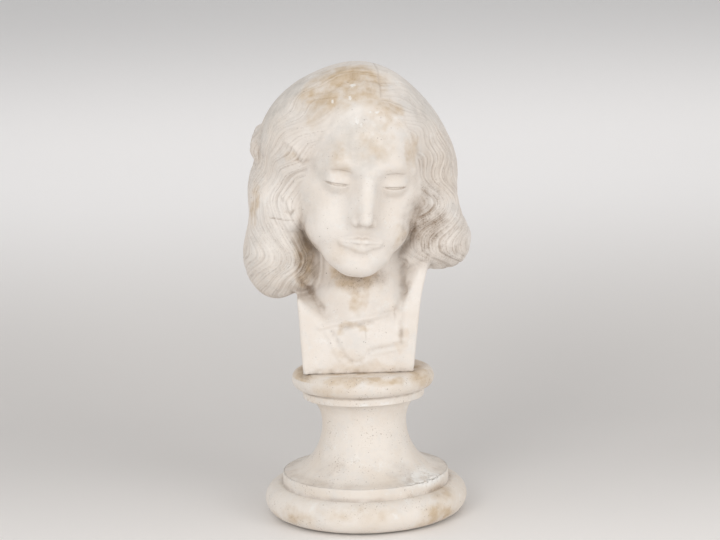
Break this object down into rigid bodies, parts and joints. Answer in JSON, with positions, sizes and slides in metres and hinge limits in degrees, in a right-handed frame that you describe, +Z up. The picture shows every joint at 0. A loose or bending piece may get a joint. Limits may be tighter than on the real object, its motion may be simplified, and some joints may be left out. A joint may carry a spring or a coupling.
{
  "type": "stone portrait bust on a turned socle",
  "caption": "Bust of a girl with rolled bobbed hair and a bowed head, cut off as a square chest block, on a round waisted socle.",
  "frame": {"origin": "on the table under the middle of the socle, in the underside of the felt", "axes": "+Z up through the middle of the socle, -Y the way the bust faces, +X to the viewer's right"},
  "size_m": [0.223, 0.2014, 0.4425],
  "materials": {
    "carved_stone": "matte warm off-white with ochre stains, dirt in the grooves and small air pits",
    "turned_stone": "matte warm off-white, worn edges, dark pits and dirt under the mouldings",
    "lime_mortar": "matte grey-beige joint",
    "zinc_steel": "dull zinc plate",
    "stone_resin": "cast polyester stone fixing",
    "brass": "plain",
    "rubber": "matte",
    "felt": "wool felt"
  },
  "bodies": {
    "root": {"bust": "carved_stone", "bust_bedding": "lime_mortar", "socle_cap": "turned_stone", "cap_bedding": "lime_mortar", "socle_shaft": "turned_stone", "base_bedding": "lime_mortar", "socle_base": "turned_stone", "tie_rod": "zinc_steel", "rod_anchor": "stone_resin", "locating_pin": "brass", "cushion_washer": "rubber", "clamp_washer": "zinc_steel", "clamp_nut": "zinc_steel", "base_felt": "felt"}
  },
  "joints": []
}
